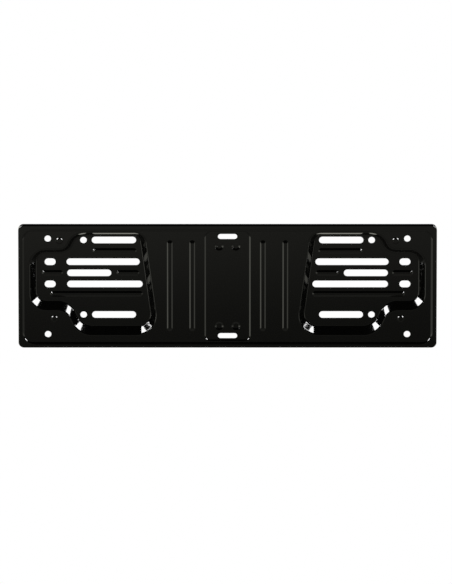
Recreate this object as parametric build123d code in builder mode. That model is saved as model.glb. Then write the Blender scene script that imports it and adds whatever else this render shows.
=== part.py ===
"""Number plate holder: one pressed steel sheet with two sunk fixing panels, a raised rim and a lip.

X runs across the holder, Z up it, and the plate side faces -Y. Y = 0 is the plate side of the flat field.
Lengths are in millimetres and angles in degrees.
"""

import os
from math import atan2, degrees, radians, tan

from build123d import *

# Sheet and outline
sheet = 1.0
width = 455.0
height = 138.5
corner_radius = 6.0
lip_bevel = 1.0
lip_depth = 6.0

# Raised rim round the seat of the plate
rim_height = 1.0
rim_strip = 4.3
rim_run = 3.1
rim_corner_radius = 5.6
seat_width = width - 2 * (rim_strip + rim_run)
seat_height = height - 2 * (rim_strip + rim_run)

# Sunk fixing panels, drawn for the right-hand side at the level of the field
panel_depth = 7.8
panel_bend = 1.6
panel_side_gap = 5.0
panel_top_gap = 1.1
panel_bottom_gap = 7.35
ear_top_length = 38.7
ear_bottom_length = 40.1
shoulder_top_length = 8.7
shoulder_bottom_length = 12.9
panel_top_length = 77.6
panel_bottom_length = 87.6
panel_outer = seat_width / 2 - panel_side_gap
notch_top = panel_outer - ear_top_length
notch_bottom = panel_outer - ear_bottom_length
shoulder_top = notch_top - shoulder_top_length
shoulder_bottom = notch_bottom - shoulder_bottom_length
panel_inner_top = shoulder_top - panel_top_length
panel_inner_bottom = shoulder_bottom - panel_bottom_length
panel_top = seat_height / 2 - panel_top_gap
panel_bottom = panel_bottom_gap - seat_height / 2

# Heights of the rows of holes in the panels, with the ears and beads counted in rows from row d
rows_in_panel = 9.17
row_lift = 0.5
row_pitch = (panel_top - panel_bottom) / rows_in_panel
top_row_gap = 10.6
bottom_row_gap = 20.4
ear_rows_up = 3.26
ear_rows_down = 2.13
bead_rows_up = 2.97
bead_rows_down = 0.92
row_a = panel_top - top_row_gap
row_b = row_lift + 2 * row_pitch
row_c = row_lift + row_pitch
row_d = row_lift
row_e = panel_bottom + bottom_row_gap
ear_top = row_lift + ear_rows_up * row_pitch
ear_bottom = row_lift - ear_rows_down * row_pitch
bead_top_row = row_lift + bead_rows_up * row_pitch
bead_bottom_row = row_lift - bead_rows_down * row_pitch

# Corners of a panel from its inner top corner round by its outer edge: place, bend, and run of the next wall
steep_run = 4.9
inner_run = 6.0
outer_run = 7.2
panel_corners = (
    ((panel_inner_top, panel_top), 13.0, steep_run),
    ((shoulder_top, panel_top), 20.0, steep_run),
    ((notch_top, ear_top), 10.5, steep_run),
    ((panel_outer, ear_top), 18.0, outer_run),
    ((panel_outer, ear_bottom), 18.0, outer_run),
    ((notch_bottom, ear_bottom), 17.0, inner_run),
    ((shoulder_bottom, panel_bottom), 22.0, outer_run),
    ((panel_inner_bottom, panel_bottom), 18.0, inner_run),
)

# Slots and holes in the panels: distance in from the outer edge, height and length
slot_width = 7.6
slots = (
    (91.6, row_a, 48.2),
    (79.8, row_b, 79.5),
    (64.7, row_c, 47.9),
    (81.7, row_d, 82.1),
    (91.6, row_e, 47.8),
)
short_slot_width = 7.8
short_slot_length = 12.0
short_slot_inset = 22.2
panel_hole_diameter = 7.2
panel_hole_inset = 58.5

# Beads in the panels, placed as the slots are
bead_height = 1.0
bead_width = 6.0
beads = (
    (92.4, bead_top_row, 48.0),
    (24.7, row_c, 23.0),
    (106.8, row_c, 25.0),
    (72.5, bead_bottom_row, 101.0),
)

# Sunk band down the middle, with its two slots and four dimples
band_width = 49.4
band_depth = 1.0
band_rim_gap = 1.5
band_corner_radius = 5.0
band_height = seat_height - 2 * band_rim_gap
band_slot_length = 21.0
band_slot_width = 5.8
band_slot_inset = 4.3
dimple_depth = 1.2
dimple_diameter = 9.4
dimple_spread = 18.2
dimple_inset = 15.3

# Upright ribs on the field, spaced between the band and a panel
rib_height = 1.0
rib_width = 6.6
rib_end_gap = 10.4
rib_shares = (0.279, 0.78)
rib_lift = 0.8

# Slope of the band, ribs and beads, and how far a rib's groove stops short of its rounded end
pressing_slope = 50.0
groove_trim = 0.8

# Bumps by the corners of the field: distance in from the panel's outer edge, and height
bump_height = 1.2
bump_diameter = 7.6
bump_gap = 10.3
bumps = ((32.4, seat_height / 2 - bump_gap), (26.7, ear_bottom - bump_gap))

# Holes for the plate's own screws
plate_hole_diameter = 7.1
plate_hole_inset = (24.8, 7.85)
plate_hole_spacing = (seat_width - 2 * plate_hole_inset[0], seat_height - 2 * plate_hole_inset[1])

# Long enough to pass through the whole part
reach = 3 * (rim_height + panel_depth + sheet)


def level(distance):
    """Plane parallel to the field, this far in front of it."""
    return Plane.XZ.offset(distance)


def slope_of(rise, run):
    return degrees(atan2(rise, run))


def ball_radius(diameter, depth):
    """Radius of the ball that leaves a mark of this diameter and depth."""
    return ((diameter / 2) ** 2 + depth**2) / (2 * depth)


def bend_shift(slope, behind):
    """How far an edge moves sideways in the rear die, which lies behind the front one, so that the sheet
    between the two has one thickness."""
    return behind * tan(radians(slope / 2))


def press(outline, start, rise, slope, behind):
    """Press one step into a die: outline(grow) draws its edge, and a negative rise sinks it."""
    shift = bend_shift(slope, behind)
    sinks = rise < 0
    with BuildSketch(level(start - behind)) as step:
        outline(shift if sinks else -shift)
    extrude(step.sketch, amount=rise, taper=90 - slope, mode=Mode.SUBTRACT if sinks else Mode.ADD)


def seat_outline(grow):
    rim = 2 * (rim_strip - grow)
    RectangleRounded(width - rim, height - rim, rim_corner_radius + grow)


def panel_outline(depth_share, behind):
    """Edge of a panel's wall, from brink (share 0) to foot (share 1): each side moves in by its own run."""
    sides = []
    for (start, _, run), (end, _, _) in zip(panel_corners, panel_corners[1:] + panel_corners[:1]):
        inward = (Vector(end) - Vector(start)).normalized().rotate(Axis.Z, -90)
        sides.append((inward, depth_share * run - bend_shift(slope_of(panel_depth, run), behind)))
    points = []
    bends = []
    for corner, (before, before_inset), (after, after_inset) in zip(panel_corners, sides[-1:] + sides, sides):
        place, bend, _ = corner
        turn = before.X * after.Y - before.Y * after.X
        across = (before_inset * after.Y - after_inset * before.Y) / turn
        up = (before.X * after_inset - after.X * before_inset) / turn
        points.append((place[0] + across, place[1] + up))
        bends.append(bend + (after_inset if turn > 0 else -after_inset))
    with BuildLine() as edge:
        FilletPolyline(*points, radius=bends, close=True)
    make_face(edge.edges())


def panel_wells(behind):
    """Room inside both fixing panels."""
    with BuildPart() as wells:
        with BuildSketch(level(-behind)) as brink:
            panel_outline(0, behind)
        with BuildSketch(level(-panel_depth - behind)) as foot:
            panel_outline(1, behind)
        loft([brink.sketch, foot.sketch], ruled=True)
        mirror(about=Plane.YZ)
    return wells.part


def band_outline(grow):
    RectangleRounded(band_width + 2 * grow, band_height + 2 * grow, band_corner_radius + grow)


def bar(length, breadth, grow, rotation=0):
    """Edge of a rib or bead: round ends on the plate side, square ends on the groove behind it."""
    if grow:
        Rectangle(length + 2 * (grow - groove_trim), breadth + 2 * grow, rotation=rotation)
    else:
        SlotOverall(length, breadth, rotation=rotation)


def rib_outline(grow):
    band_edge = band_width / 2
    for side in (-1, 1):
        for share in rib_shares:
            place = band_edge + share * (panel_inner_bottom - band_edge)
            with Locations((side * place, rib_lift)):
                bar(seat_height - 2 * rib_end_gap, rib_width, grow, rotation=90)


def bead_outline(grow):
    for side in (-1, 1):
        for inset, rise, length in beads:
            with Locations((side * (panel_outer - inset), rise)):
                bar(length, bead_width, grow)


def pressed_face(behind):
    """Solid that lies behind one face of the sheet: the plate side, or the rear side one sheet behind."""
    wells = panel_wells(behind)
    with BuildPart() as die:
        with BuildSketch(level(rim_height - behind)):
            RectangleRounded(width - 2 * behind, height - 2 * behind, corner_radius - behind)
        extrude(amount=-reach - behind)
        if not behind:
            chamfer(die.faces().sort_by(Axis.Y)[0].edges(), lip_bevel)
        press(seat_outline, rim_height, -rim_height, slope_of(rim_height, rim_run), behind)
        add(wells, mode=Mode.SUBTRACT)
        if not behind:
            fillet(die.edges(Select.LAST).group_by(Axis.Y)[0], panel_bend)
        press(band_outline, 0, -band_depth, pressing_slope, behind)
        press(rib_outline, 0, rib_height, pressing_slope, behind)
        press(bead_outline, -panel_depth, bead_height, pressing_slope, behind)
        if not behind:
            bump_ball = ball_radius(bump_diameter, bump_height)
            for side in (-1, 1):
                for inset, rise in bumps:
                    with Locations((side * (panel_outer - inset), bump_ball - bump_height, rise)):
                        Sphere(bump_ball)
        dimple_ball = ball_radius(dimple_diameter, dimple_depth)
        with Locations(level(dimple_ball - dimple_depth - band_depth)):
            with GridLocations(dimple_spread, band_height - 2 * dimple_inset, 2, 2):
                Sphere(dimple_ball + behind, rotation=(90, 0, 0), mode=Mode.SUBTRACT)
    return die.part


front_face = pressed_face(0)
rear_face = pressed_face(sheet)

with BuildPart() as holder_plate:
    add(front_face)
    add(rear_face, mode=Mode.SUBTRACT)
    # The lip stops short of the fixing panels
    with BuildSketch(level(rim_height - lip_depth)):
        RectangleRounded(width + sheet, height + sheet, corner_radius)
        RectangleRounded(width - 2 * rim_strip, height - 2 * rim_strip, rim_corner_radius, mode=Mode.SUBTRACT)
    extrude(amount=-reach - sheet, mode=Mode.SUBTRACT)
    # Every hole is punched straight through
    with BuildSketch(level(rim_height)):
        for side in (-1, 1):
            for inset, rise, length in slots:
                with Locations((side * (panel_outer - inset), rise)):
                    SlotOverall(length, slot_width)
            for rise in (row_b, row_d):
                with Locations((side * (panel_outer - short_slot_inset), rise)):
                    SlotOverall(short_slot_length, short_slot_width)
            for rise in (row_a, row_e):
                with Locations((side * (panel_outer - panel_hole_inset), rise)):
                    Circle(panel_hole_diameter / 2)
        with GridLocations(0, band_height - 2 * band_slot_inset, 1, 2):
            SlotOverall(band_slot_length, band_slot_width)
        with GridLocations(*plate_hole_spacing, 2, 2):
            Circle(plate_hole_diameter / 2)
    extrude(amount=-reach, mode=Mode.SUBTRACT)

holder_plate.part.label = "holder_plate"
os.makedirs("parts", exist_ok=True)
export_step(holder_plate.part, "parts/holder_plate.step")
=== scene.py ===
"""Studio view of the number plate holder: gloss black pressed steel before a white ground.

X runs across the holder, Z up it, and the plate side faces -Y. Lengths of the holder are in millimetres
until its mesh is made, and levels count out of the plate side from the flat field. The studio is in metres.
"""

from math import atan2, cos, degrees, pi, radians, sin, tan

import bpy
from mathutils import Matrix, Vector
from mathutils.geometry import tessellate_polygon


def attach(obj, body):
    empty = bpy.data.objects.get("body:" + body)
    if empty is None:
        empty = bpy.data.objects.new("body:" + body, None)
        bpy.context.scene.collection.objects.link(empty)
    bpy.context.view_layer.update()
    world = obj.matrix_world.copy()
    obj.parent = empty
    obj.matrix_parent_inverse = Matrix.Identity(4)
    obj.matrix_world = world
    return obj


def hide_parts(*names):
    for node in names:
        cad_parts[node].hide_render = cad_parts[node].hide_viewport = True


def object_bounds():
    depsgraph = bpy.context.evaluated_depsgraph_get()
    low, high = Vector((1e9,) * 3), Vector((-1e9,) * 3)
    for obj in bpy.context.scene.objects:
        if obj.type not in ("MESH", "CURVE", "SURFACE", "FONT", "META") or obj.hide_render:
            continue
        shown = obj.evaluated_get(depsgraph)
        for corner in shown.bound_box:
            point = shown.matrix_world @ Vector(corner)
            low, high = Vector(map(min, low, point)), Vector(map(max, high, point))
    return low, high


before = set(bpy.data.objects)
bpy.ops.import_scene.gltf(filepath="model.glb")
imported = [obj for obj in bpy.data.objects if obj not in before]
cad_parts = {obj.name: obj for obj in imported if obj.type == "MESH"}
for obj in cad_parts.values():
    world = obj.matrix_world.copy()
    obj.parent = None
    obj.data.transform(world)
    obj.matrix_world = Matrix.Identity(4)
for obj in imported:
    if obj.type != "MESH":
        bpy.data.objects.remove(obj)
cad_low, cad_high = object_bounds()
scene = bpy.context.scene
millimetre = 0.001

# Sheet and lip
sheet = 1.0
width = 455.0
height = 138.5
corner_radius = 6.0
lip_bend = 1.1
lip_depth = 6.0
edge_round = 0.2

# Rim: crest and root are the bends at a wall's brink and foot, and this brink lies lower along the bottom
rim_height = 1.0
rim_strip = 4.3
rim_run = 2.45
rim_drop = 0.65
rim_crest = 1.1
rim_root = 1.4
rim_brink_radii = (14.0, 15.1)
rim_foot_radius = 7.7
lip_end = rim_height - lip_depth

# Seat of the plate, inside the rim
seat_edge = 7.4
seat_width = width - 2 * seat_edge
seat_height = height - 2 * seat_edge

# Sunk fixing panels, drawn for the right-hand side
panel_depth = 7.8
panel_crest = 2.5
panel_root = 2.4
panel_side_gap = 5.0
panel_top_gap = 1.1
panel_bottom_gap = 7.35
ear_top_length = 38.7
ear_bottom_length = 40.1
shoulder_top_length = 8.7
shoulder_bottom_length = 12.9
panel_top_length = 77.6
panel_bottom_length = 87.6
panel_outer = seat_width / 2 - panel_side_gap
notch_top = panel_outer - ear_top_length
notch_bottom = panel_outer - ear_bottom_length
shoulder_top = notch_top - shoulder_top_length
shoulder_bottom = notch_bottom - shoulder_bottom_length
panel_inner_top = shoulder_top - panel_top_length
panel_inner_bottom = shoulder_bottom - panel_bottom_length
panel_top = seat_height / 2 - panel_top_gap
panel_bottom = panel_bottom_gap - seat_height / 2

# Heights of the rows of holes in the panels, with the ears and beads counted in rows from row d
rows_in_panel = 9.17
row_lift = 0.5
row_pitch = (panel_top - panel_bottom) / rows_in_panel
top_row_gap = 10.6
bottom_row_gap = 20.4
ear_rows_up = 3.26
ear_rows_down = 2.13
bead_rows_up = 2.97
bead_rows_down = 0.88
row_a = panel_top - top_row_gap
row_b = row_lift + 2 * row_pitch
row_c = row_lift + row_pitch
row_d = row_lift
row_e = panel_bottom + bottom_row_gap
ear_top = row_lift + ear_rows_up * row_pitch
ear_bottom = row_lift - ear_rows_down * row_pitch
bead_top_row = row_lift + bead_rows_up * row_pitch
bead_bottom_row = row_lift - bead_rows_down * row_pitch

# Corners of a panel from its inner top corner down: place, bends at brink and foot, run of the next wall
steep_run = 4.9
inner_run = 6.0
outer_run = 7.2
panel_corners = (
    ((panel_inner_top, panel_top), (13.0, 8.1), inner_run),
    ((panel_inner_bottom, panel_bottom), (22.0, 14.0), outer_run),
    ((shoulder_bottom, panel_bottom), (22.0, 19.0), inner_run),
    ((notch_bottom, ear_bottom), (17.0, 20.0), outer_run),
    ((panel_outer, ear_bottom), (18.0, 10.8), outer_run),
    ((panel_outer, ear_top), (18.0, 10.8), steep_run),
    ((notch_top, ear_top), (10.5, 15.4), steep_run),
    ((shoulder_top, panel_top), (20.0, 15.1), steep_run),
)

# Holes in a panel: distance in from its outer edge, height, length and breadth
slot_width = 7.6
short_slot_inset = 22.2
short_slot = (12.0, 7.8)
panel_hole_inset = 58.5
panel_hole = (7.2, 7.2)
panel_holes = (
    (91.6, row_a, 48.2, slot_width),
    (79.8, row_b, 79.5, slot_width),
    (64.7, row_c, 47.9, slot_width),
    (81.7, row_d, 82.1, slot_width),
    (91.6, row_e, 47.8, slot_width),
    (short_slot_inset, row_b, *short_slot),
    (short_slot_inset, row_d, *short_slot),
    (panel_hole_inset, row_a, *panel_hole),
    (panel_hole_inset, row_e, *panel_hole),
)

# Beads in a panel: distance in from its outer edge, height and length
bead_height = 1.0
bead_width = 6.6
beads = (
    (92.4, bead_top_row, 48.0),
    (24.7, row_c, 23.0),
    (106.8, row_c, 25.0),
    (72.5, bead_bottom_row, 101.0),
)

# Band down the middle, with its slots and dimples
band_width = 50.2
band_depth = 1.0
band_height = seat_height
band_run = 1.6
band_crest = 1.05
band_root = 0.8
band_brink_radius = 7.0
band_foot_radius = 3.6
band_slot = (21.0, 5.8)
band_slot_gap = 5.8
band_slot_up = seat_height / 2 - band_slot_gap
dimple_diameter = 9.4
dimple_depth = 1.2
dimple_gap = 16.8
dimple_across = 9.1
dimple_up = seat_height / 2 - dimple_gap

# Upright ribs on the field: their tops taper at the ends, and they bend at the foot and the top
rib_places = (38.4, 62.8)
rib_end_gap = 10.4
rib_length = seat_height - 2 * rib_end_gap
rib_width = 6.2
rib_height = 1.0
rib_lift = 0.8
rib_run = 1.6
rib_taper = 1.5
rib_bends = (0.8, 3.0)
rib_top_length = rib_length - 2 * (rib_run + rib_taper)
rib_top_width = rib_width - 2 * rib_run

# Bumps on the field: distance in from the panel's outer edge, and height
bump_diameter = 7.6
bump_height = 1.2
bump_gap = 10.3
bumps = ((32.4, seat_height / 2 - bump_gap), (26.7, ear_bottom - bump_gap))

# Holes for the plate's own screws
plate_hole_diameter = 7.1
plate_hole_inset = (24.8, 7.85)
plate_hole_across = seat_width / 2 - plate_hole_inset[0]
plate_hole_up = seat_height / 2 - plate_hole_inset[1]

# Small pressings: slope, bend at the edge and bend at the middle
bead_form = (24.5, 0.8, 2.0)
bump_form = (47.5, 0.5, 1.3)
dimple_form = (32.0, 1.1, 0.5)

# Share of a wall's height that its bends may take, and the parts that the arcs and bends are drawn in
bend_share = 0.6
arc_parts = 12
wall_parts = 5
pressing_parts = 4
lip_parts = 4
edge_parts = 3

# Paint: colour, and the clouds and peel of its surface
paint_colour = (0.0015, 0.0015, 0.0013, 1)
paint_ior = 1.5
cloud_scale = 40
cloud_span = (0.3, 0.7)
cloud_roughness = (0.03, 0.07)
peel_scale = 900
peel_depth = 0.000002

# Room that the gloss sees: turns and rises are in degrees, and depths run from -1 in front to 1 behind
room_blue = 0.88
room_colour = (1, 1, room_blue, 1)
front_level = 0.15
left_level = 1.6
left_turn = (-60, -30)
right_level = 0.9
right_turn = (34, 56)
side_depth = (-0.42, -0.28)
side_rest = 0.03
rear_level = 0.9
rear_depth = (0.1, 0.4)
roof_rise = (-3, 7)
plain_level = 0.8

# Soft boxes, one of each at either side: place, depth and height of the point faced, size and radiance
lamps = (
    ("tall_lamp", (1.0, -0.06, 1.45), (-0.06, 1.45), (0.43, 2.2), 24),
    ("small_lamp", (0.54, -0.5, 0.2), (0, 0), (0.06, 0.06), 40),
)

# Floor, which fades to the white ground with the distance from its middle
floor_colour = (0.8, 0.8, 0.8, 1)
floor_roughness = 0.9
floor_gloss = 0.2
floor_level = -0.45
floor_sides = (-1, 1)
floor_depth = (-0.6, 0.3)
floor_middle = (0, -0.12, floor_level)
floor_fade = (0.12, 0.4, 0.5, 1.0)
white = (1, 1, 1, 1)

# Card in front, with its levels from bottom to top and from left to right
card_sides = (-0.45, 0.45)
card_front = -1
card_heights = (-0.6, -0.05)
card_rise = (-0.36, -0.17, 0.095, 0.27)
card_fade = (-0.25, 0.25, 1.1, 0.9)

# Picture of the holder: its scale, and how far right and up of the picture's middle it lies in pixels
image_height = 584
millimetres_per_pixel = 1.0875
middle_right = 1.55
middle_up = 6.5
camera_elevation = 16.0
camera_distance = 15.0


def arc(centre, radius, start, sweep, parts, outward=1):
    """Samples along an arc: each is a point and the direction out of the outline. Angles in radians."""
    samples = []
    for part in range(parts + 1):
        angle = start + sweep * part / parts
        across, up = cos(angle), sin(angle)
        point = (centre[0] + radius * across, centre[1] + radius * up)
        samples.append((*point, outward * across, outward * up))
    return samples


def rounded_rectangle(wide, high, top_radius, bottom_radius=None, drop=0):
    """Outline whose bottom corners may have a bend of their own, and whose bottom side may lie lower."""
    samples = []
    for corner, (right, up) in enumerate(((1, 1), (-1, 1), (-1, -1), (1, -1))):
        at_bottom = up < 0
        radius = bottom_radius if at_bottom and bottom_radius else top_radius
        reach = high / 2 + (drop if at_bottom else 0)
        centre = (right * (wide / 2 - radius), up * (reach - radius))
        samples += arc(centre, radius, corner * pi / 2, pi / 2, arc_parts)
    return samples


def circle(x, z, diameter):
    count = 2 * arc_parts
    return arc((x, z), diameter / 2, 0, 2 * pi * (count - 1) / count, count - 1)


def stadium(x, z, long, broad, upright=False):
    """Outline with half-round ends; a circle if it is as long as it is broad."""
    if long <= broad:
        return circle(x, z, broad)
    radius = broad / 2
    reach = long / 2 - radius
    turn = pi / 2 if upright else 0
    ends = []
    for end in (0, 1):
        angle = turn + end * pi
        centre = (x + reach * cos(angle), z + reach * sin(angle))
        ends += arc(centre, radius, angle - pi / 2, pi, arc_parts)
    return ends


def panel_outline(at_foot):
    """Brink or foot of the panel's wall, counter-clockwise with an arc at each corner."""
    sides = []
    for (start, _, run), (end, _, _) in zip(panel_corners, panel_corners[1:] + panel_corners[:1]):
        way = Vector(end) - Vector(start)
        sides.append((Vector((-way.y, way.x)).normalized(), run if at_foot else 0))
    sides_before = sides[-1:] + sides[:-1]
    samples = []
    for corner, (before, before_inset), (after, after_inset) in zip(panel_corners, sides_before, sides):
        place, bends, _ = corner
        turn = before.x * after.y - before.y * after.x
        across = (before_inset * after.y - after_inset * before.y) / turn
        up = (before.x * after_inset - after.x * before_inset) / turn
        outward = 1 if turn > 0 else -1
        bend = bends[at_foot]
        middle = (before + after).normalized()
        centre = Vector(place) + Vector((across, up)) + outward * middle * bend / middle.dot(after)
        first = -outward * before
        sweep = atan2(turn, before.dot(after))
        samples += arc(centre, bend, atan2(first.y, first.x), sweep, arc_parts, outward)
    return samples


def mirrored(outline):
    return [(-x, z, -across, up) for x, z, across, up in reversed(outline)]


def step_profile(rise, slope, first_bend, second_bend, parts=pressing_parts):
    """Section of a step, from outside in: distance in from its edge, height and tilt of the face."""
    tilt = radians(slope)
    drop = abs(rise)
    straight = (drop - (first_bend + second_bend) * (1 - cos(tilt))) / sin(tilt)
    way = []
    for part in range(parts + 1):
        angle = tilt * part / parts
        way.append((first_bend * sin(angle), first_bend * (1 - cos(angle)), angle))
    along = first_bend * sin(tilt) + straight * cos(tilt)
    down = first_bend * (1 - cos(tilt)) + straight * sin(tilt)
    for part in range(parts + 1):
        angle = tilt * (1 - part / parts)
        inward = along + second_bend * (sin(tilt) - sin(angle))
        depth = down + second_bend * (cos(angle) - cos(tilt))
        way.append((inward, depth, angle))
    shift = first_bend * tan(tilt / 2)
    sign = 1 if rise > 0 else -1
    return [(inward - shift, sign * depth, sign * angle) for inward, depth, angle in way]


class Sheet:
    """Front face of the sheet as rings and flats; the rear face follows one sheet behind it."""

    def __init__(self):
        self.points = []
        self.normals = []
        self.faces = []
        self.holes = []
        self.lip = None

    def add(self, point, normal):
        self.points.append(Vector(point))
        self.normals.append(Vector(normal).normalized())
        return len(self.points) - 1

    def place(self, x, z, out, across, up, tilt):
        """Point this far in front of the field, whose face leans outwards by tilt."""
        return self.add((x, -out, z), (across * sin(tilt), -cos(tilt), up * sin(tilt)))

    def ring(self, outline, inward, out, tilt):
        """Ring this far inside an outline and this far in front of the field."""
        made = []
        for x, z, across, up in outline:
            made.append(self.place(x - across * inward, z - up * inward, out, across, up, tilt))
        return made

    def bridge(self, outer, inner):
        count = len(outer)
        for index in range(count):
            after = (index + 1) % count
            self.faces.append((outer[index], outer[after], inner[after], inner[index]))

    def chain(self, rings):
        for outer, inner in zip(rings, rings[1:]):
            self.bridge(outer, inner)

    def step(self, outline, level, profile):
        """A pressed step: returns its outermost and innermost rings."""
        rings = [self.ring(outline, inward, level + rise, tilt) for inward, rise, tilt in profile]
        self.chain(rings)
        return rings[0], rings[-1]

    def pressing(self, outline, level, profile):
        """A small pressing with a flat middle: returns its outermost ring."""
        edge, middle = self.step(outline, level, profile)
        self.flat(middle)
        return edge

    def wall(self, edge, end, level, rise, first_bend, second_bend):
        """A pressed wall from one outline to another: returns its outermost and innermost rings.

        Where the wall is steep, its second bend tightens to what its height leaves room for.
        """
        columns = []
        for (x, z, across, up), (end_x, end_z, _, _) in zip(edge, end):
            run = (x - end_x) * across + (z - end_z) * up
            slope = atan2(abs(rise), run)
            second_here = min(second_bend, bend_share * abs(rise) / (1 - cos(slope)) - first_bend)
            profile = step_profile(rise, degrees(slope), first_bend, second_here, wall_parts)
            column = []
            for inward, climb, tilt in profile:
                share = inward / run
                spot = (x + share * (end_x - x), z + share * (end_z - z))
                column.append(self.place(*spot, level + climb, across, up, tilt))
            columns.append(column)
        rings = [list(ring) for ring in zip(*columns)]
        self.chain(rings)
        return rings[0], rings[-1]

    def flat(self, outer, inner=()):
        """Flat face inside one ring and outside others."""
        loops = [outer, *inner]
        picked = [index for loop in loops for index in loop]
        flats = [[Vector((self.points[i].x, self.points[i].z, 0)) for i in loop] for loop in loops]
        for a, b, c in tessellate_polygon(flats):
            a, b, c = picked[a], picked[b], picked[c]
            one = self.points[b] - self.points[a]
            two = self.points[c] - self.points[a]
            if one.x * two.z - one.z * two.x < 0:
                b, c = c, b
            self.faces.append((a, b, c))

    def hole(self, outline, level):
        """Punched hole with softened edges: returns the ring that the flat round it joins."""
        made = self.ring(outline, -edge_round, level, 0)
        self.holes.append((outline, level, made))
        return made


def quarter_turn(parts):
    """Angles that divide a quarter turn, without its start."""
    return [pi / 2 * part / parts for part in range(1, parts + 1)]


def lip_outline():
    return rounded_rectangle(width, height, corner_radius)


def build_rim(made):
    """Lip and rim: returns the ring at the rim's foot."""
    edge = lip_outline()
    rings = [made.ring(edge, 0, lip_end + edge_round, pi / 2)]
    for angle in reversed([0, *quarter_turn(lip_parts)]):
        inward = lip_bend * (1 - sin(angle))
        out = rim_height - lip_bend * (1 - cos(angle))
        rings.append(made.ring(edge, inward, out, angle))
    made.chain(rings)
    made.lip = rings[0]
    brink = rounded_rectangle(width - 2 * rim_strip, height - 2 * rim_strip, *rim_brink_radii, rim_drop)
    foot_inset = rim_strip + rim_run
    foot = rounded_rectangle(width - 2 * foot_inset, height - 2 * foot_inset, rim_foot_radius)
    rim_edge, seat = made.wall(brink, foot, rim_height, -rim_height, rim_crest, rim_root)
    made.bridge(rings[-1], rim_edge)
    return seat


def build_panel(made, side):
    """Fixing panel with its beads and holes: returns the ring at its brink."""
    brink = panel_outline(False)
    foot = panel_outline(True)
    if side < 0:
        brink, foot = mirrored(brink), mirrored(foot)
    edge, floor = made.wall(brink, foot, 0, -panel_depth, panel_crest, panel_root)
    openings = []
    for inset, up, long in beads:
        bead = stadium(side * (panel_outer - inset), up, long, bead_width)
        openings.append(made.pressing(bead, -panel_depth, step_profile(bead_height, *bead_form)))
    for inset, up, long, broad in panel_holes:
        openings.append(made.hole(stadium(side * (panel_outer - inset), up, long, broad), -panel_depth))
    made.flat(floor, openings)
    return edge


def build_field(made, side):
    """Ribs, bumps and plate holes at one side of the field: returns their outermost rings."""
    openings = []
    for place in rib_places:
        foot = stadium(side * place, rib_lift, rib_length, rib_width, upright=True)
        top = stadium(side * place, rib_lift, rib_top_length, rib_top_width, upright=True)
        rib_foot, crown = made.wall(foot, top, 0, rib_height, *rib_bends)
        made.flat(crown)
        openings.append(rib_foot)
    for inset, up in bumps:
        bump = circle(side * (panel_outer - inset), up, bump_diameter)
        openings.append(made.pressing(bump, 0, step_profile(bump_height, *bump_form)))
    for end in (-1, 1):
        hole = circle(side * plate_hole_across, end * plate_hole_up, plate_hole_diameter)
        openings.append(made.hole(hole, 0))
    return openings


def build_band(made):
    """Middle band with its slots and dimples: returns the ring at its brink."""
    brink = rounded_rectangle(band_width, band_height, band_brink_radius)
    foot = rounded_rectangle(band_width - 2 * band_run, band_height - 2 * band_run, band_foot_radius)
    edge, floor = made.wall(brink, foot, 0, -band_depth, band_crest, band_root)
    openings = []
    for end in (-1, 1):
        openings.append(made.hole(stadium(0, end * band_slot_up, *band_slot), -band_depth))
        for side in (-1, 1):
            dimple = circle(side * dimple_across, end * dimple_up, dimple_diameter)
            openings.append(made.pressing(dimple, -band_depth, step_profile(-dimple_depth, *dimple_form)))
    made.flat(floor, openings)
    return edge


def build_sheet():
    """Whole front face, with the flat field between the pressings."""
    made = Sheet()
    seat = build_rim(made)
    openings = []
    for side in (-1, 1):
        openings.append(build_panel(made, side))
        openings += build_field(made, side)
    openings.append(build_band(made))
    made.flat(seat, openings)
    return made


def add_rear(made):
    """Rear face one sheet behind the front, the walls of the holes and the edge of the lip."""
    count = len(made.points)
    for index in range(count):
        made.add(made.points[index] - made.normals[index] * sheet, -made.normals[index])
    made.faces += [tuple(index + count for index in reversed(face)) for face in made.faces]
    turns = quarter_turn(edge_parts)
    for outline, level, front in made.holes:
        rings = [front]
        for angle in turns:
            inward = -edge_round * (1 - sin(angle))
            out = level - edge_round * (1 - cos(angle))
            rings.append(made.ring(outline, inward, out, -angle))
        for angle in reversed(turns):
            inward = -edge_round * (1 - sin(angle))
            out = level - sheet + edge_round * (1 - cos(angle))
            rings.append(made.ring(outline, inward, out, angle - pi))
        rings.append([index + count for index in front])
        made.chain(rings)
    edge = lip_outline()
    rings = [[index + count for index in made.lip]]
    for angle in turns:
        inward = sheet - edge_round * (1 - cos(angle))
        out = lip_end + edge_round * (1 - sin(angle))
        rings.append(made.ring(edge, inward, out, -pi / 2 - angle))
    for angle in [0, *turns[:-1]]:
        inward = edge_round * (1 - sin(angle))
        out = lip_end + edge_round * (1 - cos(angle))
        rings.append(made.ring(edge, inward, out, pi - angle))
    rings.append(made.lip)
    made.chain(rings)


def make_holder(material):
    made = build_sheet()
    add_rear(made)
    mesh = bpy.data.meshes.new("holder")
    mesh.from_pydata([point * millimetre for point in made.points], [], made.faces)
    mesh.polygons.foreach_set("use_smooth", [True] * len(mesh.polygons))
    mesh.normals_split_custom_set_from_vertices(made.normals)
    mesh.materials.append(material)
    holder = bpy.data.objects.new("holder", mesh)
    scene.collection.objects.link(holder)
    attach(holder, "root")
    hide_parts("holder_plate")


def span(tree, source, low, high, at_low, at_high):
    """Node that carries a value smoothly from one range to another."""
    made = tree.nodes.new("ShaderNodeMapRange")
    made.interpolation_type = "SMOOTHSTEP"
    made.inputs["From Min"].default_value = low
    made.inputs["From Max"].default_value = high
    made.inputs["To Min"].default_value = at_low
    made.inputs["To Max"].default_value = at_high
    tree.links.new(source, made.inputs["Value"])
    return made.outputs["Result"]


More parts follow.
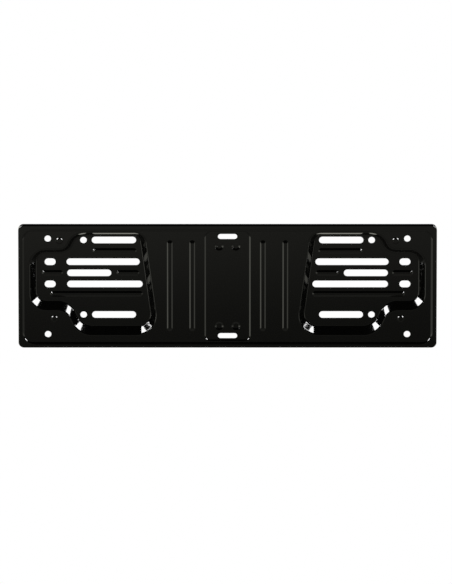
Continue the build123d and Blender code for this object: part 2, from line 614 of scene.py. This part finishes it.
def join(tree, operation, first, second):
    """Math node; each input is a socket or a number."""
    made = tree.nodes.new("ShaderNodeMath")
    made.operation = operation
    for socket, value in zip(made.inputs, (first, second)):
        if isinstance(value, (int, float)):
            socket.default_value = value
        else:
            tree.links.new(value, socket)
    return made.outputs["Value"]


def sines(angles):
    return [sin(radians(angle)) for angle in angles]


def separate(tree, source):
    """The three coordinates of a place or direction."""
    made = tree.nodes.new("ShaderNodeSeparateXYZ")
    tree.links.new(source, made.inputs[0])
    return made.outputs


def gloss_paint():
    """Gloss black paint, faintly uneven in gloss and surface as sprayed paint is."""
    material = bpy.data.materials.new("black_paint")
    material.use_nodes = True
    tree = material.node_tree
    shader = tree.nodes["Principled BSDF"]
    shader.inputs["Base Color"].default_value = paint_colour
    shader.inputs["IOR"].default_value = paint_ior
    place = tree.nodes.new("ShaderNodeTexCoord").outputs["Object"]
    cloud = tree.nodes.new("ShaderNodeTexNoise")
    cloud.inputs["Scale"].default_value = cloud_scale
    peel = tree.nodes.new("ShaderNodeTexNoise")
    peel.inputs["Scale"].default_value = peel_scale
    for texture in (cloud, peel):
        tree.links.new(place, texture.inputs["Vector"])
    tree.links.new(span(tree, cloud.outputs[0], *cloud_span, *cloud_roughness), shader.inputs["Roughness"])
    bump = tree.nodes.new("ShaderNodeBump")
    bump.inputs["Distance"].default_value = peel_depth
    tree.links.new(peel.outputs[0], bump.inputs["Height"])
    tree.links.new(bump.outputs["Normal"], shader.inputs["Normal"])
    return material


def make_world():
    """White to the camera; the gloss sees a dim room, paler at the sides and behind, with a dark roof."""
    world = bpy.data.worlds.new("studio")
    world.use_nodes = True
    scene.world = world
    tree = world.node_tree
    ground = tree.nodes["Background"]
    across, back, up = separate(tree, tree.nodes.new("ShaderNodeTexCoord").outputs["Generated"])
    left = span(tree, across, *sines(left_turn), left_level, front_level)
    right = span(tree, across, *sines(right_turn), front_level, right_level)
    sides = join(tree, "MAXIMUM", left, right)
    front = join(tree, "MULTIPLY", sides, span(tree, back, *side_depth, 1.0, side_rest))
    lit = join(tree, "MAXIMUM", front, span(tree, back, *rear_depth, 0.0, rear_level))
    seen = join(tree, "MULTIPLY", lit, span(tree, up, *sines(roof_rise), 1.0, 0.0))
    path = tree.nodes.new("ShaderNodeLightPath").outputs
    shine = path["Is Glossy Ray"]
    plain = join(tree, "MULTIPLY", join(tree, "SUBTRACT", 1.0, shine), plain_level)
    level = join(tree, "ADD", plain, join(tree, "MULTIPLY", seen, shine))
    tree.links.new(join(tree, "MAXIMUM", level, path["Is Camera Ray"]), ground.inputs["Strength"])
    shade = tree.nodes.new("ShaderNodeCombineColor")
    shade.inputs["Red"].default_value = 1.0
    shade.inputs["Green"].default_value = 1.0
    tree.links.new(span(tree, shine, 0.0, 1.0, 1.0, room_blue), shade.inputs["Blue"])
    tree.links.new(shade.outputs["Color"], ground.inputs["Color"])


def side_lamp(name, side, place, aim, size, radiance):
    """Soft box at this side of the holder, seen in its gloss."""
    data = bpy.data.lights.new(name, "AREA")
    data.shape = "RECTANGLE"
    data.size, data.size_y = size
    data.energy = radiance * pi * size[0] * size[1]
    lamp = bpy.data.objects.new(name, data)
    scene.collection.objects.link(lamp)
    across, back, up = place
    lamp.location = (side * across, back, up)
    lamp.rotation_euler = (Vector((0, *aim)) - lamp.location).to_track_quat("-Z", "Y").to_euler()
    lamp.visible_camera = False
    lamp.visible_diffuse = False


def stage_sheet(name, corners, material):
    mesh = bpy.data.meshes.new(name)
    mesh.from_pydata(corners, [], [(0, 1, 2, 3)])
    mesh.materials.append(material)
    made = bpy.data.objects.new(name, mesh)
    scene.collection.objects.link(made)
    return made


def glow(tree, colour):
    made = tree.nodes.new("ShaderNodeEmission")
    made.inputs["Color"].default_value = colour
    return made


def blend(tree, share, first, second):
    """Shader that goes from the first to the second as the share goes from 0 to 1."""
    made = tree.nodes.new("ShaderNodeMixShader")
    for socket, source in zip(made.inputs, (share, first, second)):
        tree.links.new(source, socket)
    return made.outputs[0]


def make_floor():
    """Pale floor below the holder, which hangs on a bumper in use.

    It fades to the white of the ground away from the holder, and lies in the dim of the room in reflections.
    """
    material = bpy.data.materials.new("floor")
    material.use_nodes = True
    tree = material.node_tree
    shader = tree.nodes["Principled BSDF"]
    shader.inputs["Base Color"].default_value = floor_colour
    shader.inputs["Roughness"].default_value = floor_roughness
    shader.inputs["Specular IOR Level"].default_value = 0.0
    path = tree.nodes.new("ShaderNodeLightPath").outputs
    away = tree.nodes.new("ShaderNodeVectorMath")
    away.operation = "DISTANCE"
    away.inputs[1].default_value = floor_middle
    tree.links.new(tree.nodes.new("ShaderNodeNewGeometry").outputs["Position"], away.inputs[0])
    fade = join(tree, "MULTIPLY", span(tree, away.outputs["Value"], *floor_fade), path["Is Camera Ray"])
    ground = glow(tree, white)
    dim = glow(tree, room_colour)
    dim.inputs["Strength"].default_value = floor_gloss
    look = blend(tree, fade, shader.outputs[0], ground.outputs[0])
    look = blend(tree, path["Is Glossy Ray"], look, dim.outputs[0])
    tree.links.new(look, tree.nodes["Material Output"].inputs["Surface"])
    left, right = floor_sides
    front, rear = floor_depth
    corners = [(left, front), (right, front), (right, rear), (left, rear)]
    stage_sheet("floor", [(*corner, floor_level) for corner in corners], material)


def make_card():
    """Dim card in front, seen only in the gloss of the flat faces: paler to its top and left."""
    material = bpy.data.materials.new("card")
    material.use_nodes = True
    tree = material.node_tree
    shine = glow(tree, room_colour)
    across, _, up = separate(tree, tree.nodes.new("ShaderNodeNewGeometry").outputs["Position"])
    level = join(tree, "MULTIPLY", span(tree, up, *card_rise), span(tree, across, *card_fade))
    tree.links.new(level, shine.inputs["Strength"])
    tree.links.new(shine.outputs[0], tree.nodes["Material Output"].inputs["Surface"])
    left, right = card_sides
    bottom, top = card_heights
    corners = [(left, bottom), (right, bottom), (right, top), (left, top)]
    card = stage_sheet("card", [(x, card_front, z) for x, z in corners], material)
    card.visible_camera = False
    card.visible_diffuse = False
    card.visible_shadow = False


def make_camera():
    data = bpy.data.cameras.new("camera")
    camera = bpy.data.objects.new("camera", data)
    scene.collection.objects.link(camera)
    scene.camera = camera
    rise = radians(camera_elevation)
    back = Vector((0, -cos(rise), sin(rise)))
    right = Vector((1, 0, 0))
    up = Vector((0, sin(rise), cos(rise)))
    middle = (cad_low + cad_high) / 2
    pixel = millimetres_per_pixel * millimetre
    target = middle - right * middle_right * pixel - up * middle_up * pixel
    camera.location = target + back * camera_distance
    camera.rotation_euler = back.to_track_quat("Z", "Y").to_euler()
    data.lens = data.sensor_width * camera_distance / (image_height * pixel)
    data.clip_end = 2 * camera_distance


make_holder(gloss_paint())
make_world()
for side in (-1, 1):
    for name, *lamp in lamps:
        side_lamp(name, side, *lamp)
make_floor()
make_card()
make_camera()
scene.view_settings.view_transform = "Standard"
